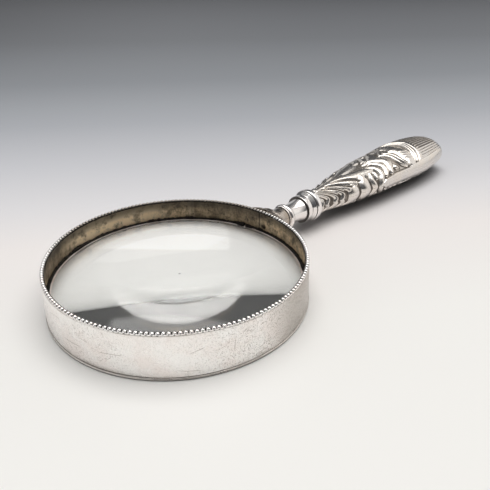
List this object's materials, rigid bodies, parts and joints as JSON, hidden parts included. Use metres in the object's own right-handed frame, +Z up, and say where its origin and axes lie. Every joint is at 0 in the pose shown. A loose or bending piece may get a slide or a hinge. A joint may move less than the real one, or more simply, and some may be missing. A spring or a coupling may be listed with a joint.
{
  "type": "magnifying glass",
  "caption": "Hand magnifying glass: a thick biconvex lens in a deep beaded silver-plate rim, on a chased oval handle that unscrews from a socket.",
  "frame": {"origin": "centre of the rim's foot ring, on the surface that the glass lies on", "axes": "+X from the lens towards the end of the handle, +Z up through the lens, away from the surface"},
  "size_m": [0.2332, 0.0904, 0.0186],
  "materials": {
    "band_silver": "old silver plate, satin, finely scratched and pitted outside, brown tarnish inside",
    "bead_silver": "worn bright silver plate with dark tarnish between the beads",
    "tarnished_silver": "silver plate, heavily tarnished, near black",
    "crown_glass": "clear polished glass with a faint green tint and a ground edge",
    "polished_silver": "polished silver, lightly rubbed, tarnish in the grooves",
    "chased_silver": "stamped silver, bright on the raised work and oxidised in the hollows",
    "screw_steel": "plain steel, dull",
    "bush_brass": "plain brass, dull",
    "pitch": "black pitch and resin filling, matte"
  },
  "bodies": {
    "rim": {"rim_band": "band_silver", "foot_wire": "band_silver", "beaded_wire": "bead_silver", "lens_seat_ring": "tarnished_silver", "lens": "crown_glass", "retaining_ring": "tarnished_silver", "saddle_plate": "band_silver", "socket_boss": "polished_silver", "socket_collar": "polished_silver", "threaded_stud": "screw_steel"},
    "bush": {"threaded_bush": "bush_brass"},
    "handle": {"neck_ferrule": "polished_silver", "front_ring": "polished_silver", "rear_ring": "polished_silver", "handle_shell_upper": "chased_silver", "handle_shell_lower": "chased_silver", "tang": "screw_steel", "pitch_filling": "pitch"}
  },
  "joints": [
    {"name": "handle_travel", "type": "slide", "parent": "rim", "child": "bush", "axis": [1, 0, 0], "range_m": [0, 0.0096]},
    {"name": "handle_turn", "type": "hinge", "parent": "bush", "child": "handle", "pos_m": [0.064, 0, 0.0094], "axis": [1, 0, 0], "range_deg": [0, 3240]}
  ],
  "couplings": [
    {"joint": "handle_travel", "follows": "handle_turn", "m_per_rad": 0.00016839}
  ]
}
